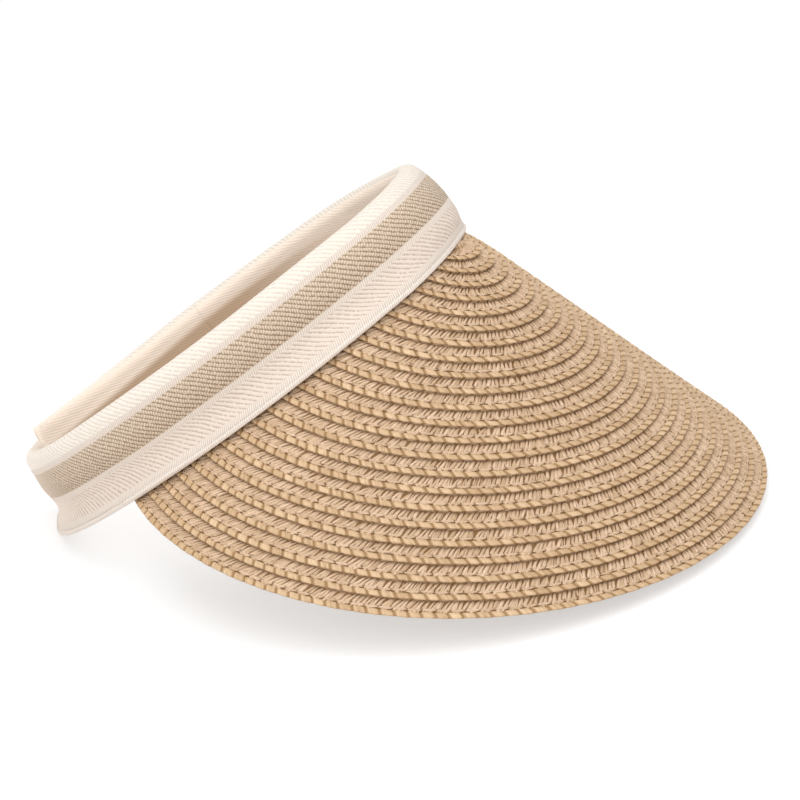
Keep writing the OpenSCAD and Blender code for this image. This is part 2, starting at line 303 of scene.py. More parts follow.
class Shape:
    """The brim's slope and the hoop's arcs, worked out from the driving sizes in the way the solids are.

    u points outwards from the hoop's line and v up from the band's lower edge. A turn is measured from the
    front of the hoop, positive to the wearer's left. s runs down the brim's slope from its peak.
    """

    def __init__(self, form):
        self.form = form
        chord = math.hypot(form.brim_r, form.brim_rise)
        self.slope_turn = 4 * math.atan(2 * form.brim_dome / chord)
        self.slope_r = chord / (2 * math.sin(self.slope_turn / 2))
        self.slope_len = self.slope_r * self.slope_turn
        self.slope_first = math.atan(form.brim_rise / form.brim_r) - self.slope_turn / 2
        self.split_turn = form.front_turn + form.side_turn
        self.end_turn = self.split_turn + form.tail_turn
        self.bends = np.array([form.front_turn, self.split_turn])
        self.radii = np.array([form.front_r, form.side_r, form.tail_r])
        ways = np.stack([np.sin(self.bends), -np.cos(self.bends)], axis=1)
        steps = (self.radii[:2] - self.radii[1:])[:, None] * ways
        self.centres = np.cumsum(np.vstack([[0, form.front_r], steps]), axis=0)
        turns = np.array([form.front_turn, form.side_turn, form.tail_turn])
        self.reach = np.concatenate([[0], np.cumsum(self.radii * turns)])
        self.roll_r = form.band_t / 2
        self.roll_v = form.band_h - self.roll_r
        self.set_seam()
        self.set_stand()

    def set_seam(self):
        """Where the straw meets the band: distance from the peak against turn along the seam."""
        form = self.form
        self.seam_turns = np.linspace(0, self.end_turn, SEAM_STEPS)
        offset = self.seam_point(self.seam_turns) - np.array([0, 0, form.brim_rise])
        self.seam_slopes = np.linalg.norm(offset, axis=-1)
        self.first_slope = self.seam_slopes[0] + form.seam_start
        self.row_pitch = (self.slope_len - self.first_slope) / form.row_count
        self.row_width = self.row_pitch + form.row_lap
        self.row_climb = (form.braid_t + form.row_gap) * self.row_width / self.row_pitch

    def set_stand(self):
        """Tilt and shift that stand the visor on the brim's front edge and the tails' feet."""
        form = self.form
        rim = self.brim_point(self.slope_len, 0.0, -form.braid_t)
        rest_turn = self.end_turn - form.rest_len / form.tail_r
        foot = self.hoop_point(np.float64(rest_turn), form.flange_side - form.web_t, 0.0)
        self.table_tilt = math.atan2(rim[2] - foot[2], foot[1] - rim[1])
        sin, cos = math.sin(self.table_tilt), math.cos(self.table_tilt)
        self.turn_up = np.array([[1, 0, 0], [0, cos, -sin], [0, sin, cos]])
        front = self.turn_up @ self.brim_point(self.slope_len, 0.0, 0.0)
        self.shift = np.array([0, CAD_BOX[0][1] - front[1], -rim[1] * sin - rim[2] * cos])

    def stand(self, points):
        """Points of the brim's frame once the visor stands on the table."""
        return points @ self.turn_up.T + self.shift

    def turn_at(self, along):
        """Turn at a length along the hoop's line from the front."""
        corners = np.array([0, *self.bends, self.end_turn])
        return np.sign(along) * np.interp(np.abs(along), self.reach, corners)

    def tail_share(self, along):
        """Share from 0 at a tail's root to 1 at its end, at a length along the hoop's line."""
        root, end = self.reach[2:]
        return np.clip((np.abs(along) - root) / (end - root), 0, 1)

    def sag(self, turn):
        """Drop of the hoop at a turn: a power of the turn's share of the whole."""
        return self.form.hoop_sag * (np.abs(turn) / self.end_turn) ** self.form.sag_power

    def smooth_turn(self, turn):
        """Smooth step from 0 at the front to 1 where the flare and the waist are full."""
        share = np.minimum(np.abs(turn) / self.form.flange_turn, 1)
        return (1 - np.cos(np.pi * share)) / 2

    def hoop_point(self, turn, u, v):
        """Point of the band in the brim's frame: out from the arc's centre by u, up by v less the sag."""
        form = self.form
        size = np.abs(turn)
        arc = np.searchsorted(self.bends, size, side="right")
        radius = self.radii[arc] + u
        x = np.sign(turn) * (self.centres[arc, 0] + radius * np.sin(size))
        y = self.centres[arc, 1] - radius * np.cos(size)
        h = v - self.sag(turn)
        sin, cos = math.sin(form.hoop_tilt), math.cos(form.hoop_tilt)
        back = y * cos + h * sin - form.hoop_ahead
        up = h * cos - y * sin + form.brim_rise - form.hoop_below
        return joined(x, back, up)

    def seam_point(self, turn):
        """Point of the seam, just inside the lower edge of the solid band."""
        form = self.form
        flange = form.flange_front + (form.flange_side - form.flange_front) * self.smooth_turn(turn)
        return self.hoop_point(turn, flange - form.web_t - form.seam_gap, -form.seam_gap)

    def brim_point(self, s, heading, height):
        """Point of the plain brim: s down an arc from the peak, turned on the axis, raised on its normal."""
        slope = self.slope_first + self.slope_turn * s / self.slope_len
        r = self.slope_r * (np.sin(slope) - math.sin(self.slope_first)) + height * np.sin(slope)
        fall = self.slope_r * (np.cos(slope) - math.cos(self.slope_first))
        z = self.form.brim_rise + fall + height * np.cos(slope)
        return joined(r * np.sin(heading), -r * np.cos(heading), z)

    def row_point(self, s, share, height):
        """Point of a straw row: the plain brim, drawn out to the seam by a power of the row's share."""
        s_seam = np.maximum(s, self.first_slope)
        end = self.seam_point(np.interp(s_seam, self.seam_slopes, self.seam_turns))
        end_heading = np.arctan2(end[..., 0], -end[..., 1])
        pull = end - self.brim_point(s_seam, end_heading, 0.0)
        amount = np.abs(share) ** self.form.spread_power
        pull[..., 0] *= np.sign(share)
        return self.brim_point(s, share * end_heading, height) + amount[..., None] * pull


class Gathering:
    """Points, faces and surface values that are gathered from several shapes before they become one mesh."""

    def __init__(self):
        self.points, self.uv, self.tint, self.depth, self.faces, self.slots = [], [], [], [], [], []
        self.size = 0

    def add(self, points, faces, uv, tint, depth, slot=0):
        """Takes in one shape: points, faces as index arrays by corner count, and values for each point."""
        flat = points.reshape(-1, 3)
        self.points.append(flat)
        self.uv.append(uv.reshape(-1, 2))
        self.tint.append(np.broadcast_to(tint, points.shape[:-1]).ravel())
        self.depth.append(np.broadcast_to(depth, points.shape[:-1]).ravel())
        turned = faces if signed_volume(flat, faces) > 0 else [f[:, ::-1] for f in faces]
        self.faces += [f + self.size for f in turned]
        self.slots += [slot] * len(turned)
        self.size += len(flat)

    def build(self, name, materials):
        """Makes the mesh object, at the origin, with its UV map and its tint and depth values."""
        mesh = bpy.data.meshes.new(name)
        points = np.concatenate(self.points).astype(np.float32)
        corners = np.concatenate([f.ravel() for f in self.faces]).astype(np.int32)
        sizes = np.concatenate([np.full(len(f), f.shape[1]) for f in self.faces])
        slots = np.concatenate([np.full(len(f), k) for f, k in zip(self.faces, self.slots)])
        mesh.vertices.add(len(points))
        mesh.vertices.foreach_set("co", points.ravel())
        mesh.loops.add(len(corners))
        mesh.loops.foreach_set("vertex_index", corners)
        mesh.polygons.add(len(sizes))
        mesh.polygons.foreach_set("loop_start", (np.cumsum(sizes) - sizes).astype(np.int32))
        mesh.polygons.foreach_set("material_index", slots.astype(np.int32))
        mesh.update(calc_edges=True)
        mesh.polygons.foreach_set("use_smooth", sizes <= 4)
        layer = mesh.uv_layers.new(name="UVMap")
        layer.uv.foreach_set("vector", np.concatenate(self.uv)[corners].astype(np.float32).ravel())
        for title, values in (("tint", self.tint), ("depth", self.depth)):
            attribute = mesh.attributes.new(title, "FLOAT", "POINT")
            attribute.data.foreach_set("value", np.concatenate(values).astype(np.float32))
        if mesh.validate():
            raise RuntimeError(f"{name}: the mesh had faulty faces")
        for material in materials:
            mesh.materials.append(material)
        piece = bpy.data.objects.new(name, mesh)
        bpy.context.scene.collection.objects.link(piece)
        return piece


def signed_volume(points, faces):
    """Six times the volume inside closed faces, positive where they point outwards."""
    total = 0.0
    for face in faces:
        for k in range(1, face.shape[1] - 1):
            a, b, c = points[face[:, 0]], points[face[:, k]], points[face[:, k + 1]]
            total += np.einsum("ij,ij->", a, np.cross(b, c))
    return total


def tube_faces(columns, rows):
    """Faces of a closed section carried along a line: quads round the sides and a cap at each end."""
    column, row = np.meshgrid(np.arange(columns - 1) * rows, np.arange(rows), indexing="ij")
    after = (row + 1) % rows
    sides = np.stack([column + row, column + rows + row, column + rows + after, column + after], axis=-1)
    near = np.arange(rows)[None]
    return [sides.reshape(-1, 4), near, (columns - 1) * rows + near[:, ::-1]]


def strand_faces(number, rings, around):
    """Faces of many closed strands: quads between their rings and fans of triangles at their two tips."""
    ring, side = np.meshgrid(np.arange(rings - 1), np.arange(around), indexing="ij")
    after = (side + 1) % around
    low, high = ring * around, (ring + 1) * around
    quads = np.stack([low + side, low + after, high + after, high + side], axis=-1).reshape(-1, 4)
    k = np.arange(around)
    first, last = rings * around, rings * around + 1
    near = np.stack([np.full(around, first), (k + 1) % around, k], axis=1)
    end = (rings - 1) * around
    far = np.stack([np.full(around, last), end + k, end + (k + 1) % around], axis=1)
    offset = (np.arange(number) * (rings * around + 2))[:, None, None]
    return [(shape[None] + offset).reshape(-1, shape.shape[1]) for shape in (quads, np.vstack([near, far]))]


def strands(path, half_w, half_h, around):
    """Closed strands in flat coordinates (along, across, height): an ellipse carried along each path.

    path is (number, rings, 3), and the half-widths and half-heights broadcast to (number, rings). Each tip
    reaches half a width past its last ring. Returns points, faces and UV (round and back, length).
    """
    number, rings, _ = path.shape
    way = np.gradient(path, axis=1)
    way /= np.linalg.norm(way, axis=-1, keepdims=True)
    side = np.stack([-way[..., 1], way[..., 0], np.zeros_like(way[..., 0])], axis=-1)
    turn = np.linspace(-np.pi, np.pi, around, endpoint=False)
    half_w = np.broadcast_to(half_w, path.shape[:2])
    half_h = np.broadcast_to(half_h, path.shape[:2])
    round_side = side[:, :, None] * (half_w[..., None] * np.cos(turn))[..., None]
    round_up = np.array([0, 0, 1.0]) * (half_h[..., None] * np.sin(turn))[..., None]
    tube = (path[:, :, None] + round_side + round_up).reshape(number, -1, 3)
    tips = path[:, [0, -1]] + way[:, [0, -1]] * (half_w[:, [0, -1]] * [-0.5, 0.5])[..., None]
    points = np.concatenate([tube, tips], axis=1)
    gone = np.linalg.norm(np.diff(path, axis=1, prepend=path[:, :1]), axis=-1).cumsum(axis=1)
    u = np.broadcast_to(np.abs(turn) / np.pi, (number, rings, around)).reshape(number, -1)
    v = np.repeat(gone, around, axis=1)
    uv_tips = np.stack([np.full((number, 2), 0.5), gone[:, [0, -1]]], axis=-1)
    uv = np.concatenate([np.stack([u, v], axis=-1), uv_tips], axis=1)
    return points, strand_faces(number, rings, around), uv


class Tree:
    """A material's node tree, with short calls that add nodes and join them."""

    def __init__(self, name, roughness, specular, sheen=0.0):
        self.material = bpy.data.materials.new(name)
        self.material.use_nodes = True
        self.nodes = self.material.node_tree.nodes
        self.links = self.material.node_tree.links
        self.shader = self.nodes["Principled BSDF"]
        self.shader.inputs["Roughness"].default_value = roughness
        self.shader.inputs["Specular IOR Level"].default_value = specular
        self.shader.inputs["Sheen Weight"].default_value = sheen

    def put(self, socket, value):
        """Joins a socket to another one, or sets its value."""
        if isinstance(value, bpy.types.NodeSocket):
            self.links.new(value, socket)
        else:
            socket.default_value = value

    def add(self, kind, settings, **inputs):
        """Adds a node with its settings; inputs are named with underscores for spaces."""
        node = self.nodes.new("ShaderNode" + kind)
        for key, value in settings.items():
            setattr(node, key, value)
        for key, value in inputs.items():
            self.put(node.inputs[key.replace("_", " ")], value)
        return node

    def math(self, operation, first, second=0.0):
        """Result of one sum."""
        node = self.add("Math", {"operation": operation})
        self.put(node.inputs[0], first)
        self.put(node.inputs[1], second)
        return node.outputs[0]

    def chain(self, operation, terms):
        """Result of one sum after another over several values."""
        result = terms[0]
        for term in terms[1:]:
            result = self.math(operation, result, term)
        return result

    def total(self, *terms):
        """Sum of several values."""
        return self.chain("ADD", terms)

    def times(self, *terms):
        """Product of several values."""
        return self.chain("MULTIPLY", terms)

    def less(self, first, second):
        """First value less the second."""
        return self.math("SUBTRACT", first, second)

    def mix(self, share, first, second, blend="MIX"):
        """Mixed colour of two colours."""
        node = self.add("Mix", {"data_type": "RGBA", "blend_type": blend, "clamp_factor": True})
        self.put(node.inputs["Factor"], share)
        for socket, value in zip([s for s in node.inputs if s.type == "RGBA"], (first, second)):
            self.put(socket, value)
        return [s for s in node.outputs if s.type == "RGBA"][0]

    def noise(self, vector, scale, detail=2.0):
        """Soft irregular value from 0 to 1."""
        return self.add("TexNoise", {}, Vector=vector, Scale=scale, Detail=detail).outputs["Fac"]

    def stretch(self, vector, scale):
        """Coordinates stretched along their axes."""
        return self.add("Mapping", {}, Vector=vector, Scale=scale).outputs["Vector"]

    def step(self, value, low, high):
        """Smooth step from 0 at the low value to 1 at the high one."""
        smooth = {"interpolation_type": "SMOOTHSTEP"}
        return self.add("MapRange", smooth, Value=value, From_Min=low, From_Max=high).outputs["Result"]

    def coordinates(self):
        """UV map and object coordinates of the piece."""
        node = self.add("TexCoord", {})
        return node.outputs["UV"], node.outputs["Object"]

    def value(self, name):
        """A value that the mesh carries at its points."""
        return self.add("Attribute", {"attribute_name": name}).outputs["Fac"]

    def wave(self, uv, along, across, shift=0.0):
        """Sine ridges from -1 to 1 over the UV map, with their periods along and across the piece."""
        axes = self.add("SeparateXYZ", {}, Vector=uv).outputs
        run = self.times(axes["X"], 2 * math.pi / along)
        rise = self.times(axes["Y"], 2 * math.pi / across)
        return self.math("SINE", self.total(run, rise, shift))

    def ramp(self, share, stops):
        """Colour ramp through (place, colour) stops."""
        node = self.add("ValToRGB", {}, Fac=share)
        while len(node.color_ramp.elements) < len(stops):
            node.color_ramp.elements.new(1.0)
        for element, (place, shade) in zip(node.color_ramp.elements, stops):
            element.position = place
            element.color = shade
        return node.outputs["Color"]

    def finish(self, base, bump, strength, distance):
        """Sets the base colour and the bump, and returns the material."""
        self.put(self.shader.inputs["Base Color"], base)
        node = self.add("Bump", {}, Height=bump, Strength=strength, Distance=distance)
        self.links.new(node.outputs["Normal"], self.shader.inputs["Normal"])
        return self.material


def opaque(shade):
    """A property's colour with its alpha."""
    return (*shade, 1.0)


def dimmed(shade, share):
    """A share of a property's colour, with its alpha."""
    return opaque([share * c for c in shade])


def grey(value):
    """An opaque grey."""
    return (value, value, value, 1.0)


def straw_material(name, look, mid, light):
    """Knitted paper straw: each strand has its own tint and fine creases along it, with painted highlights
    along the creases and painted shade in the creases and where the depth value calls for it.
    """
    tree = Tree(name, roughness=0.5, specular=0.35)
    uv, place = tree.coordinates()
    creases = tree.noise(tree.stretch(uv, (7.0, 260.0, 1.0)), 1.0, 3.0)
    fibres = tree.noise(tree.stretch(uv, (18.0, 160.0, 1.0)), 1.0, 2.0)
    patches = tree.noise(place, 45.0, 3.0)
    tint = tree.times(tree.value("tint"), 0.26)
    # Painted highlight: streaks along the creases lift the straw towards its light colour.
    crease_highlights = tree.times(tree.less(creases, 0.5), 1.5)
    lightness = tree.total(0.45, tint, crease_highlights, tree.less(fibres, 0.5))
    usual = tree.mix(tree.times(patches, 0.6), opaque(mid), opaque(look.warm))
    base = tree.mix(lightness, usual, opaque(light))
    # Painted shade: the depth value and the dark parts of the creases mix in the dark straw colour.
    folds = tree.total(tree.value("depth"), tree.times(tree.step(creases, 0.42, 0.25), 0.5))
    shaded_straw = tree.mix(folds, base, opaque(look.dark))
    return tree.finish(shaded_straw, tree.total(creases, fibres), 0.45, 0.0003)


def thread_material(name, shade):
    """Twisted thread: fine slanting plies in its own colour."""
    tree = Tree(name, roughness=0.6, specular=0.25)
    uv, place = tree.coordinates()
    plies = tree.wave(uv, 1.0, 0.5 * MM)
    uneven = tree.times(tree.noise(place, 900.0), 0.4)
    return tree.finish(tree.mix(uneven, opaque(shade), dimmed(shade, 0.6)), plies, 0.4, 0.0001)


def webbing_material(look):
    """Woven elastic webbing: white, beige and white twill stripes with ladder ribs and a bead between them.

    The UV map gives metres along the band and up its face, and the stripes are ramps over the height. The
    twill's phase and the smooth end of a tail come with the mesh, so that the yarns lie on the ridges.
    """
    tree = Tree("webbing", roughness=0.85, specular=0.2, sheen=0.15)
    uv, _ = tree.coordinates()
    ramp_top = 45 * MM
    blur = 0.25 * MM
    share = tree.math("DIVIDE", tree.add("SeparateXYZ", {}, Vector=uv).outputs["Y"], ramp_top)
    borders = [look.groove_v, look.low_rib_v, look.white_v, look.beige_v, look.beige_top, look.rib_top]

    def stripes(*shades):
        """Ramp over the seven stripes from the lower edge up, each one even or a list of foot and top."""
        pairs = [shade if isinstance(shade, list) else [shade, shade] for shade in shades]
        stops = [(0.0, pairs[0][0])]
        for border, before, after in zip(borders, pairs, pairs[1:]):
            stops += [((border - blur) / ramp_top, before[1]), ((border + blur) / ramp_top, after[0])]
        return tree.ramp(share, stops)

    def masks(*values):
        """Even values on the seven stripes."""
        return stripes(*(grey(value) for value in values))

    rib, low, high = opaque(look.rib), opaque(look.lower_white), opaque(look.upper_white)
    yarn = [opaque(look.beige_light), opaque(look.beige_top_light)]
    gap = [opaque(look.beige_dark), opaque(look.beige_top_dark)]
    bead = opaque(look.bead)
    colours = stripes(bead, rib, low, rib, yarn, rib, high)
    gaps = stripes(bead, rib, low, rib, gap, rib, high)
    shadows = tree.mix(1.0, colours, (0.66, 0.6, 0.56, 1.0), "MULTIPLY")
    is_beige = masks(0, 0, 0, 0, 1, 0, 0)
    is_rib = masks(0.8, 1, 0, 1, 0, 1, 0)
    is_white = masks(0, 0, 1, 0, 0, 0, 0.55)

    phase, smooth = tree.value("tint"), tree.value("depth")
    crisp = tree.less(1.0, smooth)
    row = tree.math("SINE", tree.times(phase, 2 * math.pi))
    grain = tree.noise(uv, 1100.0, 2.0)
    uneven = tree.times(tree.noise(uv, 330.0, 2.0), 5.0)
    loose = tree.times(tree.less(grain, 0.5), 2.6)
    stagger = tree.times(tree.math("SINE", tree.times(phase, math.pi)), 1.5)
    dash = tree.wave(uv, 1.18 * MM, -1.39 * MM, tree.total(uneven, stagger))
    ladder = tree.wave(uv, look.rib_pitch, -2 * MM, uneven)
    lit_row = tree.step(tree.total(row, loose), -1.1, 0.0)
    lit_dash = tree.step(tree.total(dash, loose), -0.8, 0.5)
    dim = tree.less(1.0, tree.times(lit_row, tree.step(lit_dash, -0.7, 1.0)))
    beige_low = tree.total(tree.times(dim, crisp, is_beige), tree.times(smooth, 0.4, is_beige))
    line = tree.times(tree.step(tree.less(loose, row), 0.2, 1.1), crisp)
    cloth_low = tree.total(
        tree.times(line, is_white, 0.85),
        tree.times(tree.step(ladder, -0.1, 0.8), is_rib, 0.7),
        tree.times(grain, 0.12),
    )
    woven = tree.mix(beige_low, tree.mix(cloth_low, colours, shadows), gaps)
    # Towards a tail's end the colour is lightened to a warm pale tone: partly the pressed yarn's own paler
    # colour, partly painted light on the end that turns away from the lamps.
    base = tree.mix(tree.times(smooth, 0.32), woven, (1.0, 0.86, 0.74, 1.0))
    twill = tree.times(tree.total(is_white, is_beige), crisp)
    relief = tree.total(
        tree.times(row, twill),
        tree.times(dash, is_beige, crisp),
        tree.times(ladder, is_rib),
        tree.times(grain, 0.8),
    )
    return tree.finish(base, relief, 0.5, 0.0002)


def lining_material(look):
    """Soft twill tape: fine slanting lines and faint patches, with painted shade below its fold."""
    tree = Tree("lining", roughness=0.9, specular=0.15, sheen=0.2)
    uv, _ = tree.coordinates()
    wander = tree.times(tree.noise(uv, 220.0, 3.0), 2.0)
    lines = tree.wave(uv, -3.1 * MM, 1.0 * MM, wander)
    yarns = tree.noise(uv, 1500.0, 2.0)
    patches = tree.noise(uv, 30.0, 2.0)
    low = tree.total(tree.times(lines, -0.18), tree.times(yarns, 0.25), tree.times(patches, 0.2))
    # Painted shade: below its fold the tape turns to the shade colour, by the fold's shade share.
    tape = tree.mix(tree.value("depth"), opaque(look.peach), opaque(look.peach_shade))
    base = tree.mix(low, tape, tree.mix(1.0, tape, grey(0.8), "MULTIPLY"))
    return tree.finish(base, tree.total(lines, yarns), 0.35, 0.00015)


def wadding_material(look):
    """Fluffy fibre wadding: soft lumps and fine fibres."""
    tree = Tree("wadding", roughness=0.95, specular=0.1, sheen=0.3)
    _, place = tree.coordinates()
    lumps = tree.noise(place, 180.0, 4.0)
    fibres = tree.noise(place, 1400.0, 4.0)
    base = tree.mix(fibres, opaque(look.wadding), dimmed(look.wadding, 0.85))
    return tree.finish(base, tree.total(lumps, fibres), 0.8, 0.0006)


def strip_material(look):
    """Rolled spring strip: fine lines along it and faint scuffs."""
    tree = Tree("spring_strip", roughness=0.38, specular=0.5)
    uv, place = tree.coordinates()
    drawn = tree.noise(tree.stretch(uv, (40.0, 2600.0, 1.0)), 1.0, 3.0)
    scuffs = tree.noise(place, 120.0, 3.0)
    base = tree.mix(tree.total(drawn, scuffs, -0.5), opaque(look.strip), dimmed(look.strip, 0.7))
    return tree.finish(base, drawn, 0.15, 0.0001)


class Band:
    """The dressed band: its outer face, its rolled top edge and what lies inside it."""

    def __init__(self, shape, look):
        self.shape = shape
        self.look = look

    def face_u(self, turn, v):
        """Distance outwards of the outer face at height v: flared foot, waist or bulge, full upper part."""
        look = self.look
        step = self.shape.smooth_turn(turn)
        flare = look.flare_front + (look.flare_side - look.flare_front) * step
        waist = look.waist_front + (look.waist_side - look.waist_front) * step
        low = (flare + waist) * (1 + np.cos(np.pi * np.clip(v / look.waist_v, 0, 1))) / 2 - waist
        rise = np.clip((v - look.waist_v) / (look.bulge_v - look.waist_v), 0, 1)
        high = -waist * (1 + np.cos(np.pi * rise)) / 2
        return np.where(v < look.waist_v, low, high)

    def outer_line(self, turn, q):
        """Point (u, v) of the outside at a length q from the lower edge: up the face and over the roll."""
        shape = self.shape
        around = np.clip((q - shape.roll_v) / shape.roll_r, 0, np.pi)
        down = np.maximum(q - shape.roll_v - np.pi * shape.roll_r, 0)
        on_face = q < shape.roll_v
        u = np.where(on_face, self.face_u(turn, q), shape.roll_r * (np.cos(around) - 1))
        v = np.where(on_face, q, shape.roll_v + shape.roll_r * np.sin(around) - down)
        return u, v

    def outside(self, turn, q, proud):
        """Point of the outside moved along the section's normal."""
        step = 0.05 * MM
        u, v = self.outer_line(turn, q)
        u0, v0 = self.outer_line(turn, q - step)
        u1, v1 = self.outer_line(turn, q + step)
        size = np.hypot(u1 - u0, v1 - v0)
        return u + proud * (v1 - v0) / size, v - proud * (u1 - u0) / size

    def relief(self, along, q):
        """Height of the woven relief: rolled bead, hem groove, raised ribs, twill ridges and soft waves."""
        look, shape = self.look, self.shape
        groove_depth, groove_w, rib_proud = 0.16 * MM, 0.22 * MM, 0.09 * MM
        hem_fade, rib_fade, top_fade = 0.4 * MM, 0.3 * MM, 2 * MM
        middle = look.bead_v / 2
        bead = look.bead_proud * np.sqrt(np.clip(1 - ((q - middle) / middle) ** 2, 0, 1))
        groove = -groove_depth * bell(q - look.groove_v, groove_w)
        upper_ribs = ((look.white_v, look.beige_v), (look.beige_top, look.rib_top))
        ribs = 0.0
        for low, high in ((look.groove_v, look.low_rib_v), *upper_ribs):
            share = np.clip((q - low) / (high - low), 0, 1)
            ribs = ribs + rib_proud * np.sin(np.pi * share) ** 2
        inside = np.clip((q - look.low_rib_v) / hem_fade, 0, 1)
        for low, high in upper_ribs:
            inside = inside * np.clip(np.maximum(low - q, q - high) / rib_fade, 0, 1)
        top = np.clip((shape.roll_v + 2 * shape.roll_r - q) / top_fade, 0, 1)
        ridges = np.sin(2 * np.pi * self.twill_turns(along, q))
        twill = look.twill_relief * ridges * (1 - self.smooth_end(along))
        soft = 0.12 * MM * np.sin(along / (7.3 * MM) + 1.1) * np.sin(q / (5.1 * MM))
        soft = soft + 0.14 * MM * np.sin(along / (11.9 * MM) + 0.4)
        return bead + groove + ribs + twill * inside * top + soft * top

    def twill_turns(self, along, q):
        """Phase of the twill in whole turns: even along the band, with a rise of its own in each stripe."""
        look = self.look
        low, high = look.low_across, look.high_across
        foot, foot_across, past_top = 6 * MM, 0.85 * low, 60 * MM
        heights = np.array([0, foot, look.white_v, look.beige_v, look.beige_top, look.rib_top, past_top])
        pitches = np.array([foot_across, low, low, look.mid_across, high, high])
        turns = np.concatenate([[0], np.cumsum(np.diff(heights) / pitches)])
        wander = 0.1 * np.sin(along / (5.3 * MM) + q / (3.1 * MM))
        wander = wander + 0.08 * np.sin(along / (2.9 * MM) - q / (4.7 * MM) + 1.3)
        return along / look.twill_along + np.interp(q, heights, turns) + wander

    def smooth_end(self, along, _=0.0):
        """Share from 0 to 1 by which the weave is pressed smooth towards a tail's end, at any height; it also
        lightens the webbing's colour there, partly the pressed yarn's paler colour and partly painted light on
        the end that turns from the lamps.
        """
        haste, most = 1.8, 0.95
        left = (self.shape.reach[-1] - np.abs(along)) / self.look.smooth_len
        return np.clip(haste * (1 - left), 0, 1) * most

    def fold_shade(self, along, v):
        """Share from 0 to 1 of the shade on the lining below its fold, fainter at the front of the hoop."""
        blur, side_start, side_len, at_front = 3 * MM, 60 * MM, 90 * MM, 0.2
        fold = self.look.fold_v - self.look.fold_drop * self.shape.tail_share(along)
        below = np.clip((fold - v) / blur, 0, 1)
        side = np.clip((np.abs(along) - side_start) / side_len, 0, 1)
        return eased(below) * (at_front + (1 - at_front) * eased(side))

    def draw_in(self, along, u, v):
        """Draws a section together onto its middle towards a tail's tip, as a quarter of a circle."""
        look, shape = self.look, self.shape
        foot_v, rise, closest = 2 * MM, 7 * MM, 0.998
        high = eased(np.clip((v - foot_v) / rise, 0, 1))
        foot = self.face_u(shape.turn_at(along), v) - look.lining_t
        middle = foot - (shape.roll_r + foot) * high
        left = (shape.reach[-1] - np.abs(along)) / look.tip_len
        share = np.sqrt(1 - np.clip(1 - left, 0, closest) ** 2)
        return middle + (u - middle) * share

    def columns(self, low, high, step):
        """Lengths along the hoop for the mesh lines of one part, closer together at a tail's tip."""
        even = np.linspace(low, high, max(round((high - low) / step), 8))
        tip = self.shape.reach[-1] - self.look.tip_len * (1 - np.sin(np.linspace(0, np.pi / 2, TIP_LINES)))
        inside = even[np.abs(even) < tip[0] - step / 2]
        if high > tip[0]:
            return np.concatenate([inside, tip])
        if low < -tip[0]:
            return np.concatenate([-tip[::-1], inside])
        return even

    def place(self, along, u, v, inset):
        """Points of the standing band; inset is how far a layer stands in at the tip.

        A tail thins towards its tip, and leans about a line and is lifted by the square of its share. On a
        bell curve along the band, the front is full at half its height and curves in and down above that.
        A height over the table becomes the mean of itself and its hypotenuse with a small length, so that
        the foot settles softly.
        """
        shape, look = self.shape, self.look
        full_v, contact = 7 * MM, 1.2 * MM
        turn = shape.turn_at(along)
        gone = shape.tail_share(along) ** 2
        left = np.clip((shape.reach[-1] - np.abs(along)) / look.thin_len, 0, 1)
        thick = 1 - look.end_thin * (1 - left) ** 2 * (1 + 2 * left)
        face = self.face_u(turn, np.minimum(v, shape.roll_v))
        out = face + (self.draw_in(along, u + inset, v) - inset - face) * thick
        right = along < 0
        lean = np.where(right, math.tan(look.lean_right), math.tan(look.lean_left))
        line = np.where(right, look.lean_v, look.left_lean_v)
        fore = bell(along, look.front_len)
        high = np.maximum((v - look.front_v) / look.front_v, 0) ** 2
        full = bell(v - look.front_v, full_v)
        out = out - (v - line) * lean * gone + fore * (look.front_full * full - look.front_in * high)
        up = v + look.left_lift * gone * (along > 0) - fore * look.front_drop * high
        points = shape.stand(shape.hoop_point(turn, out, up))
        points[..., 2] = (points[..., 2] + np.hypot(points[..., 2], contact)) / 2
        return points

    def webbing_loop(self, along):
        """Closed section of the webbing: relief outside, smooth inside, round at the lower edge."""
        shape, look = self.shape, self.look
        thick = shape.form.web_t
        whole = shape.roll_v + np.pi * shape.roll_r + shape.form.turn_in
        q = np.linspace(0, whole, round(whole / look.step))
        inner_q = np.linspace(whole, 0, INNER_LINES)
        bend = np.linspace(np.pi, 0, 6)[1:-1]
        lower = -0.5 * thick * np.sin(bend)
        loop_q = np.concatenate([q, inner_q, lower])
        edge = 0.5 * thick * (np.cos(bend) - 1)
        proud = np.concatenate([np.zeros_like(q), np.full(INNER_LINES, -thick), edge])
        turn = shape.turn_at(along)[:, None]
        height = np.broadcast_to(loop_q, (len(along), len(loop_q)))
        raised = np.zeros_like(height)
        raised[:, : len(q)] = self.relief(along[:, None], q[None])
        u, v = self.outside(turn, height, proud + raised)
        return u, v, np.concatenate([q, np.full(INNER_LINES, whole), lower])

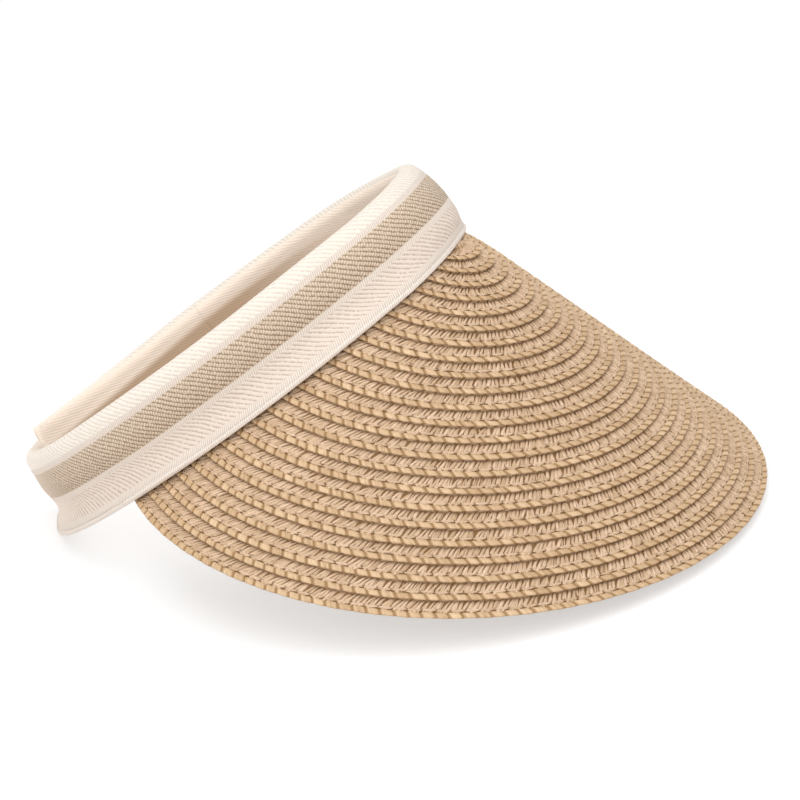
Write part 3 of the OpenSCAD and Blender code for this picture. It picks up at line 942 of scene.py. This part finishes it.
    def lining_loop(self, along):
        """Closed section of the lining: up the inner side and over the roll, with a bulge above its fold.

        Along the tails its foot curls out to the webbing, as there is no straw between them.
        """
        shape, look = self.shape, self.look
        thick = look.lining_t
        free_turn, curl_v, web_gap = math.radians(12), 6 * MM, 0.15 * MM
        bulge_rise, bulge_v = 1.5 * MM, 2 * MM
        radius = shape.roll_r + look.lining_proud
        arc = np.pi - look.lining_turn
        side_len = shape.roll_v - look.lining_v
        q = np.linspace(0, side_len + radius * arc, 60)
        around = np.pi - np.clip((q - side_len) / radius, 0, arc)
        on_side = q < side_len
        inner_u = np.where(on_side, -shape.roll_r - radius, radius * np.cos(around) - shape.roll_r)
        inner_v = np.where(on_side, look.lining_v + q, shape.roll_v + radius * np.sin(around))
        normal_u = np.where(on_side, -1, np.cos(around))
        normal_v = np.where(on_side, 0, np.sin(around))
        back = slice(None, None, -3)
        u = np.concatenate([inner_u, (inner_u - thick * normal_u)[back]])
        v = np.concatenate([inner_v, (inner_v - thick * normal_v)[back]])
        turn = shape.turn_at(along)[:, None]
        free = eased(np.clip((np.abs(turn) - shape.split_turn) / free_turn, 0, 1))
        low = np.clip(1 - (v - look.lining_v) / curl_v, 0, 1) ** 2
        bulge = look.roll_in * bell(v - look.fold_v - bulge_rise, bulge_v)
        inner_face = self.face_u(turn, look.lining_v) - shape.form.web_t - thick - web_gap
        curl = (inner_face + shape.form.band_t) * free
        facing_in = np.concatenate([np.ones(len(q)), np.zeros(len(u) - len(q))])
        soft = 0.12 * MM * np.sin(along[:, None] / (8.7 * MM)) * np.sin(v / (4.3 * MM))
        return u + curl * low - (soft + bulge) * facing_in, np.broadcast_to(v, (len(along), len(v))), v

    def padding_loop(self, along):
        """Closed section of the wadding: a rounded pad between the spring strip and the webbing."""
        shape, form = self.shape, self.shape.form
        t = np.linspace(0, 2 * np.pi, 28, endpoint=False)
        low, high = form.core_v, shape.roll_v - form.layer_gap
        v = (low + high) / 2 + (high - low) / 2 * np.sign(np.sin(t)) * np.abs(np.sin(t)) ** 0.5
        turn = shape.turn_at(along)[:, None]
        inner = form.web_t + 3 * form.layer_gap + form.core_t - form.band_t
        outer = self.face_u(turn, v) - form.web_t - 3 * form.layer_gap
        side = np.sign(np.cos(t)) * np.abs(np.cos(t)) ** 0.6
        lumps = 0.1 * MM * np.sin(along[:, None] / (3.1 * MM) + 2 * t)
        u = (inner + outer) / 2 + ((outer - inner) / 2 - 0.1 * MM + lumps) * side
        return u, np.broadcast_to(v, u.shape), v

    def strip_loop(self, along):
        """Closed section of the spring strip: a flat bar with round edges."""
        shape, form = self.shape, self.shape.form
        half_t = form.core_t / 2
        bend = np.linspace(0, np.pi, 7)
        top = shape.roll_v - form.layer_gap - half_t
        foot = form.core_v + half_t
        middle = form.web_t + form.layer_gap - form.band_t + half_t
        u = middle + half_t * np.concatenate([np.cos(bend), -np.cos(bend)])
        v = np.concatenate([top + half_t * np.sin(bend), foot - half_t * np.sin(bend)])
        still = np.zeros((len(along), 1))
        return u + still, v + still, v


def swept_piece(band, name, loop, along, inset, material, depth):
    """Carries a closed section along part of the hoop and closes its two ends."""
    u, v, height = loop(along)
    points = band.place(along[:, None], u, v, inset)
    uv = joined(along[:, None], height)
    gathering = Gathering()
    turns = band.twill_turns(along[:, None], height)
    gathering.add(points, tube_faces(*u.shape), uv, turns, depth(along[:, None], height))
    return gathering.build(name, [material])


def hem_stitches(band, name, low, high, material):
    """Short stitches that lie in the hem's groove between two lengths along the hoop."""
    look = band.look
    number = round((high - low) / look.hem_pitch)
    middle = low + (np.arange(number) + 0.5) * (high - low) / number
    reach = np.linspace(-0.4, 0.4, 5) * look.hem_pitch
    along = middle[:, None] + reach
    dip = -0.1 * MM * (reach / reach[-1]) ** 4
    path = joined(along, look.groove_v, dip)
    flat, faces, uv = strands(path, look.hem_r, look.hem_r, 6)
    turn = band.shape.turn_at(flat[..., 0])
    u, v = band.outside(turn, flat[..., 1], flat[..., 2])
    gathering = Gathering()
    gathering.add(band.place(flat[..., 0], u, v, 0.0), faces, uv, 0.0, 0.0)
    return gathering.build(name, [material])


def unshaded(_):
    """No shade at any point."""
    return 0.0


class StrawRow:
    """One row of braid in flat coordinates: along the row, up from its outer edge, over its upper face."""

    def __init__(self, shape, look, number):
        self.shape = shape
        self.look = look
        self.number = number
        self.rng = np.random.default_rng(look.seed + number)
        self.s_out = shape.first_slope + number * shape.row_pitch
        shares = np.linspace(0, 1, ROW_STEPS)
        edge = shape.row_point(np.full(ROW_STEPS, self.s_out), shares, 0.0)
        gone = np.linalg.norm(np.diff(edge, axis=0), axis=1).cumsum()
        half = gone[-1]
        tuck = shape.form.brim_tuck
        self.half_len = half + tuck
        self.shares = np.append(shares, 1 + tuck / half)
        self.gone = np.concatenate([[0], gone, [self.half_len]])

    def place(self, flat):
        """Standing points of flat ones: share by length along the edge, down the slope, raised on it.

        By the cube of a row's place on the slope, the soft rim reaches further out and is bent up at the
        front, and both die out towards the row's ends.
        """
        shape, look = self.shape, self.look
        along, up, height = flat[..., 0], flat[..., 1], flat[..., 2]
        share = np.sign(along) * np.interp(np.abs(along), self.gone, self.shares)
        lift = height - shape.row_climb * up / shape.row_width
        s = self.s_out - up
        outer = np.clip(s / shape.slope_len, 0, 1) ** 3
        size = np.minimum(np.abs(share), 1)
        reach = look.rim_out * outer * (1 - size**4)
        points = shape.row_point(s + reach, share, lift)
        flat_out = reach * math.sin(shape.slope_first) * (1 - size**2)
        bent_up = look.rim_lift * outer * np.cos(np.pi * size / 1.15) ** 2 * (1 - size**8)
        points[..., 2] += flat_out + bent_up
        points = shape.stand(points)
        points[..., 2] = np.maximum(points[..., 2], 0)
        return points

    def spaced(self, pitch):
        """Even places along the row, a little in from its ends, with the spacing nearest to a pitch."""
        margin = 1 * MM
        reach = self.half_len - margin
        number = max(round(2 * reach / pitch), 2)
        return (np.arange(number) + 0.5) / number * 2 * reach - reach

    def add(self, gathering, path, half_w, half_h, around, depth, slot=0):
        """Adds strands along flat paths, each with a tint of its own; depth, the share of painted shade, is a
        function of flat points.
        """
        flat, faces, uv = strands(path, half_w, half_h, around)
        uv = uv + self.rng.uniform(0, 9, (len(path), 1, 2))
        tint = self.rng.normal(0, 1, (len(path), 1))
        gathering.add(self.place(flat), faces, uv, tint, depth(flat), slot)

    def backing(self, gathering):
        """Thin tape under the strands, with a ridge sewn to the row above, to close the gaps; it is coloured
        with painted shade, so that it shows dark between them.
        """
        shape = self.shape
        foot, top = 0.5, shape.row_width / MM - 0.4
        under, over = -0.8, -0.55
        ridge = shape.row_pitch / MM + 1
        rise = 0.68 if self.number > 1 else -0.4
        tape = [[foot, under], [top, under], [top, over]]
        seam = [[ridge + 0.25, over], [ridge + 0.1, rise], [ridge - 0.1, rise], [ridge - 0.25, over]]
        corners = np.array([*tape, *seam, [foot, over]])
        spacing = 2 * MM
        along = np.linspace(-self.half_len, self.half_len, max(round(2 * self.half_len / spacing), 4))
        flat = joined(along[:, None], *(corners * MM).T)
        # Painted shade: the tape takes the dark straw colour, fully on its upper faces and in part on its
        # underside, with a low tint.
        depth = np.where(corners[:, 1] == under, 0.45, 1.0)
        gathering.add(self.place(flat), tube_faces(len(along), len(corners)), flat[..., :2], -1.0, depth)

    def side_shade(self, height):
        """Share from 0 to 1 of the shade low on the sides of strands; their undersides are light again."""
        start, fall, under, turn_light = -0.28 * MM, 0.35 * MM, -0.78 * MM, 0.18 * MM
        low = np.clip((start - height) / fall, 0, 1)
        return low * np.clip(1 - (under - height) / turn_light, 0.1, 1)

    def cord(self, gathering, line, way, slot):
        """Edge cord: an ellipse carried along the row, drawn in on the slants that part its links.

        The mesh lines follow the slants, at set shares of each link, with a shallow crease at its middle.
        """
        look, rng = self.look, self.rng
        around, margin = 10, 1.5 * MM
        shares = np.array([0, 0.07, 0.2, 0.5, 0.8, 0.93])
        drawn_in = [1, 0.8, 0.05, 0.0, 0.08, 0.8]
        reach = self.half_len - margin
        number = max(round(2 * reach / look.link_pitch), 2)
        borders = np.concatenate([[0], rng.normal(1, 0.07, number).cumsum()])
        borders = borders / borders[-1] * 2 * reach - reach
        size = np.diff(borders)[:, None]
        bend = rng.normal(0, 0.05, (number, 1)) * (shares == 0.5)
        groove = np.tile(drawn_in, number)
        crease = (rng.uniform(-0.3, 1, (number, 1)).clip(0) * (shares == 0.5)).ravel()
        tint = (rng.normal(0, 0.55, (number, 1)) * (shares > 0)).ravel()
        fall = np.tile((0.5 - shares) * (shares > 0), number)
        at = (borders[:-1, None] + size * (shares + bend)).ravel()
        groove, crease, tint, fall = (np.append(a, a[0]) for a in (groove, crease, tint, fall))
        at = np.append(at, borders[-1])[:, None]
        turn = np.linspace(0, 2 * np.pi, around, endpoint=False)
        thick = self.shape.form.braid_t / 2
        half_w = look.link_w * (1 - 0.1 * groove + 0.05 * np.sin(at[:, 0] / (1.9 * MM)))[:, None]
        half_h = thick * (1 - 0.5 * groove - 0.16 * crease)[:, None]
        across = half_w * np.cos(turn)
        along = np.clip(at - way * look.link_slant * across, -self.half_len, self.half_len)
        height = look.link_proud - thick + half_h * np.sin(turn) + 0.16 * MM * fall[:, None]
        flat = joined(along, line + across, height)
        # Painted shade: darker in the slants between the links, along the crease and at each link's lower end,
        # on top of the shade low on the sides.
        dark = 1.1 * groove**1.2 + 0.45 * crease + 0.35 * np.clip(-2 * fall, 0, 1) ** 2
        depth = np.clip(0.75 * self.side_shade(height) + dark[:, None], 0, 1)
        uv = joined(0.9 * at / look.link_pitch, across)
        gathering.add(self.place(flat), tube_faces(len(at), around), uv, tint[:, None], depth, slot)

    def knitting(self, gathering):
        """Knitted field: pairs of a wide leaning strand and a thin lower one, dark between their tops."""
        look, rng, shape = self.look, self.rng, self.shape
        pair, hole = self.spaced(look.pair_pitch), self.spaced(look.seam_pitch)
        number = len(pair)
        t = np.linspace(0, 1, 6)
        top = shape.row_width - 0.9 * MM
        half_h, sunk = 0.5 * MM, 0.5 * MM

        def depth(flat):
            """Painted shade: darker low on the sides of the strands and under the row above."""
            under = np.clip((flat[..., 1] - shape.row_pitch + 0.5 * MM) / (0.6 * MM), 0, 1)
            under = under * (flat[..., 2] > -0.7 * MM)
            return np.clip(0.55 * self.side_shade(flat[..., 2]) + 0.6 * under, 0, 1)

        for half_w, lean, shift, deeper, around in (
            (look.leg_w, look.leg_lean, -0.1, 0.0, 8),
            (look.thin_w, look.thin_lean, 0.38, 0.1 * MM, 6),
        ):
            start = pair + shift * look.pair_pitch + rng.normal(0, 0.1 * MM, number)
            beside = np.abs(start[:, None] - hole).min(axis=1) < look.hole_w + half_w
            foot = np.where(beside, look.hole_foot, look.leg_foot) + rng.normal(0, 0.12 * MM, number)
            slope = np.tan(lean + rng.normal(0, math.radians(7), number))
            up = foot[:, None] + (top - foot)[:, None] * t
            along = start[:, None] + slope[:, None] * (up - shape.row_pitch / 2)
            crown = rng.normal(0.14, 0.08, (number, 1)) * MM * np.sin(np.pi * np.clip(t * 1.5, 0, 1))
            height = crown - sunk - deeper - 0.15 * MM * t
            width = half_w * rng.normal(1, 0.12, (number, 1)) * (1.06 - 0.14 * t)
            self.add(gathering, joined(along, up, height), width, half_h, around, depth)

    def sewing(self, gathering):
        """Smooth lip over the strands' feet, parted at the stitch holes, with the sewing thread on it."""
        look, rng = self.look, self.rng
        hole = self.spaced(look.seam_pitch)
        middle = (hole[1:] + hole[:-1])[:, None] / 2
        t = np.linspace(-1, 1, 7)
        reach = (hole[1] - hole[0]) / 2 - 0.6 * look.hole_w
        wander = rng.normal(0, 0.06 * MM, (len(middle), 1)) + 0.05 * MM * np.sin(4 * t + middle / MM)
        path = joined(middle + reach * t, look.lip_b + wander, -0.2 * MM - 0.06 * MM * t**4)
        self.add(gathering, path, look.lip_w * (1 - 0.5 * t**6), 0.3 * MM, 6, unshaded)
        drop = 0.02 * MM - 0.45 * MM * t**6
        path = joined(middle + (reach + 0.2 * MM) * t, look.seam_b, drop)
        self.add(gathering, path, look.seam_r, look.seam_r, 5, unshaded, 1)

    def build(self, name, materials):
        """Makes the row's mesh of backing, knitting, sewing and the two edge cords."""
        look, gathering = self.look, Gathering()
        self.backing(gathering)
        self.knitting(gathering)
        self.cord(gathering, look.link_b, 1, 2)
        self.cord(gathering, self.shape.row_width - look.link_b, -1, 0)
        self.sewing(gathering)
        return gathering.build(name, materials)


def dress_band(context, layer, loop_name, material, step, after=None):
    """Builds the front and the two tails of one layer of the band, hands the front to the visor's body and
    bakes each tail's piece where it stands.
    """
    shape = Shape(context.scene.visor_form)
    band = Band(shape, context.scene.visor_band)
    split, end = shape.reach[2], shape.reach[3]
    spans = {"front": (-split, split), "tail_left": (split, end), "tail_right": (-end, -split)}
    for part, (low, high) in spans.items():
        name = f"{layer}_{part}"
        piece_name = f"dressed_{name}"
        if loop_name is None:
            piece = hem_stitches(band, piece_name, low, high, material)
        else:
            core = band.look.core_end * (layer in ("padding", "spring_strip"))
            along = band.columns(low, high, step)
            along = along[np.abs(along) <= end - core]
            inset = band.look.lining_proud if layer == "lining" else 0.0
            # The depth value is the lining's painted shade, or for the other layers the pressed end of a tail,
            # which also lightens the webbing, partly as painted light.
            depth = band.fold_shade if layer == "lining" else band.smooth_end
            piece = swept_piece(band, piece_name, getattr(band, loop_name), along, inset, material, depth)
        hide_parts(name)
        if after is not None:
            after(piece)
        if part == "front":
            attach(piece, "visor")
        else:
            bend_with_tail(shape, piece, part)


def bend_with_tail(shape, piece, body):
    """Bakes a tail's piece where it stands; the ends of its bend along the hoop are worked out but not used.
    """
    along = TAILS[body] * (shape.reach[2] + np.array([BEND_START, BEND_END]))
    start, end = shape.stand(shape.hoop_point(shape.turn_at(along), 0.0, 0.0))
    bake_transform(piece)


class VISOR_OT_straw(bpy.types.Operator):
    """Build the rows of knitted straw braid"""

    bl_idname = "visor.straw"
    bl_label = "Straw rows"

    def execute(self, context):
        shape = Shape(context.scene.visor_form)
        look = context.scene.visor_braid
        materials = [
            straw_material("straw", look, look.mid, look.light),
            thread_material("sewing_thread", look.thread),
            straw_material("straw_edge", look, look.edge_mid, look.edge_light),
        ]
        for number in range(1, shape.form.row_count + 1):
            piece = StrawRow(shape, look, number).build(f"straw_row_{number:02d}", materials)
            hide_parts(f"brim_row_{number:02d}")
            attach(piece, "visor")
        return {"FINISHED"}


class VISOR_OT_webbing(bpy.types.Operator):
    """Build the striped webbing of the band"""

    bl_idname = "visor.webbing"
    bl_label = "Webbing"

    def execute(self, context):
        look = context.scene.visor_band
        dress_band(context, "webbing", "webbing_loop", webbing_material(look), look.step)
        return {"FINISHED"}


class VISOR_OT_lining(bpy.types.Operator):
    """Build the tape that lines the band"""

    bl_idname = "visor.lining"
    bl_label = "Lining"

    def execute(self, context):
        look = context.scene.visor_band
        dress_band(context, "lining", "lining_loop", lining_material(look), 0.5 * MM)
        return {"FINISHED"}


class VISOR_OT_padding(bpy.types.Operator):
    """Build the wadding in the band"""

    bl_idname = "visor.padding"
    bl_label = "Padding"

    def execute(self, context):
        material = wadding_material(context.scene.visor_band)

        def fill(piece):
            """Leaves the padding's piece as it is."""

        dress_band(context, "padding", "padding_loop", material, 1.5 * MM, fill)
        return {"FINISHED"}


class VISOR_OT_strip(bpy.types.Operator):
    """Build the springy strip in the band"""

    bl_idname = "visor.strip"
    bl_label = "Spring strip"

    def execute(self, context):
        material = strip_material(context.scene.visor_band)
        dress_band(context, "spring_strip", "strip_loop", material, 2 * MM)
        return {"FINISHED"}


class VISOR_OT_hem(bpy.types.Operator):
    """Build the stitches along the band's hem"""

    bl_idname = "visor.hem"
    bl_label = "Hem stitches"

    def execute(self, context):
        material = thread_material("hem_thread", context.scene.visor_band.hem)
        dress_band(context, "hem_thread", None, material, 0.0)
        return {"FINISHED"}


class VISOR_OT_stage(bpy.types.Operator):
    """Set up the camera, the lamps, the white surround and the floor"""

    bl_idname = "visor.stage"
    bl_label = "Stage"

    def execute(self, context):
        look = context.scene.visor_stage
        shape = Shape(context.scene.visor_form)
        place_camera(context, shape, look)
        for name, (size, place) in LAMPS.items():
            add_lamp(f"{name}_lamp", getattr(look, name), size, place)
        white_world(context, look)
        lay_floor(look)
        context.scene.view_settings.view_transform = "Standard"
        return {"FINISHED"}


def facing(ahead, upright):
    """Right, up and backward axes, as columns, of a camera or a lamp that looks ahead."""
    right = unit(np.cross(ahead, upright))
    return np.stack([right, np.cross(right, ahead), -ahead], axis=1)


def set_up(name, data, axes, place):
    """Puts a camera or a lamp into the scene with its axes and its place."""
    matrix = np.eye(4)
    matrix[:3, :3] = axes
    matrix[:3, 3] = place
    item = bpy.data.objects.new(name, data)
    item.matrix_world = Matrix(matrix.tolist())
    bpy.context.scene.collection.objects.link(item)
    return item


def place_camera(context, shape, look):
    """Camera on a line from the middle of the brim's edge, turned so that this point falls on its pixel."""
    flat = math.cos(look.elevation)
    east, north = -flat * math.cos(look.heading), -flat * math.sin(look.heading)
    way = np.array([east, north, math.sin(look.elevation)])
    upright = shape.turn_up @ np.array([0, 0, 1.0])
    straight = -shape.turn_up @ way
    right, up, _ = facing(straight, upright).T
    across = (look.aim_x - IMAGE_SIZE / 2) / look.focal_px
    down = (look.aim_y - IMAGE_SIZE / 2) / look.focal_px
    ahead = unit(straight - across * right + down * up)
    camera = bpy.data.cameras.new("camera")
    camera.sensor_width = SENSOR_W
    camera.lens = look.focal_px / IMAGE_SIZE * SENSOR_W
    camera.clip_start = 0.01
    place = shape.stand(way * look.distance)
    context.scene.camera = set_up("camera", camera, facing(ahead, upright), place)


def add_lamp(name, power, size, place):
    """Square soft lamp at a place, facing the visor."""
    lamp = bpy.data.lights.new(name, "AREA")
    lamp.energy = power
    lamp.size = size
    ahead = unit(np.array(LAMP_TARGET) - np.array(place))
    set_up(name, lamp, facing(ahead, [0, 0, 1.0]), place)


def seen_rays(nodes, links):
    """Largest share of rays that come from the camera, a reflection or glass."""
    path = nodes.new("ShaderNodeLightPath").outputs
    largest = path["Is Camera Ray"]
    for ray in ("Is Glossy Ray", "Is Transmission Ray"):
        node = nodes.new("ShaderNodeMath")
        node.operation = "MAXIMUM"
        links.new(largest, node.inputs[0])
        links.new(path[ray], node.inputs[1])
        largest = node.outputs[0]
    return largest


def white_world(context, look):
    """Even light all round, which is plain white where it is seen."""
    world = bpy.data.worlds.new("surround")
    world.use_nodes = True
    nodes, links = world.node_tree.nodes, world.node_tree.links
    strength = nodes.new("ShaderNodeMapRange")
    links.new(seen_rays(nodes, links), strength.inputs["Value"])
    strength.inputs["To Min"].default_value = look.sky
    strength.inputs["To Max"].default_value = 1.0
    background = nodes["Background"]
    background.inputs["Color"].default_value = grey(1.0)
    links.new(strength.outputs["Result"], background.inputs["Strength"])
    context.scene.world = world


def lay_floor(look):
    """Wide pale floor that keeps the shadow; for the camera it glows a little so that it stays white."""
    mesh = bpy.data.meshes.new("floor")
    sides = ((-1, -1), (1, -1), (1, 1), (-1, 1))
    mesh.from_pydata([(x * FLOOR_HALF, y * FLOOR_HALF, -FLOOR_DROP) for x, y in sides], [], [(0, 1, 2, 3)])
    tree = Tree("floor", roughness=0.9, specular=0.0)
    seen = seen_rays(tree.nodes, tree.links)
    tree.put(tree.shader.inputs["Base Color"], tree.mix(seen, opaque(look.floor), opaque(look.floor_seen)))
    tree.shader.inputs["Emission Color"].default_value = grey(1.0)
    tree.put(tree.shader.inputs["Emission Strength"], tree.times(seen, look.floor_glow))
    mesh.materials.append(tree.material)
    floor = bpy.data.objects.new("floor", mesh)
    bpy.context.scene.collection.objects.link(floor)


PARTS = (
    VISOR_OT_straw,
    VISOR_OT_webbing,
    VISOR_OT_lining,
    VISOR_OT_padding,
    VISOR_OT_strip,
    VISOR_OT_hem,
    VISOR_OT_stage,
)
GROUPS = {
    "visor_form": VisorForm,
    "visor_braid": BraidLook,
    "visor_band": BandLook,
    "visor_stage": StageLook,
}


class VISOR_PT_sidebar(bpy.types.Panel):
    """Lists the steps that build the visor, and its sizes"""

    bl_idname = "VISOR_PT_sidebar"
    bl_label = "Sun visor"
    bl_space_type = "VIEW_3D"
    bl_region_type = "UI"
    bl_category = "Visor"

    def draw(self, context):
        for part in PARTS:
            self.layout.operator(part.bl_idname)
        for name, group in GROUPS.items():
            box = self.layout.box()
            box.label(text=group.__name__)
            for key in group.__annotations__:
                box.prop(getattr(context.scene, name), key)


def register():
    """Registers the property groups, the operators and the panel."""
    for name, group in GROUPS.items():
        bpy.utils.register_class(group)
        setattr(bpy.types.Scene, name, bpy.props.PointerProperty(type=group))
    for item in (*PARTS, VISOR_PT_sidebar):
        bpy.utils.register_class(item)


def unregister():
    """Takes back what register did."""
    for item in reversed((*PARTS, VISOR_PT_sidebar)):
        bpy.utils.unregister_class(item)
    for name, group in GROUPS.items():
        delattr(bpy.types.Scene, name)
        bpy.utils.unregister_class(group)


def main():
    """Builds the visor and its stage."""
    register()
    bpy.ops.visor.straw()
    bpy.ops.visor.webbing()
    bpy.ops.visor.lining()
    bpy.ops.visor.padding()
    bpy.ops.visor.strip()
    bpy.ops.visor.hem()
    bpy.ops.visor.stage()


if __name__ == "__main__":
    main()
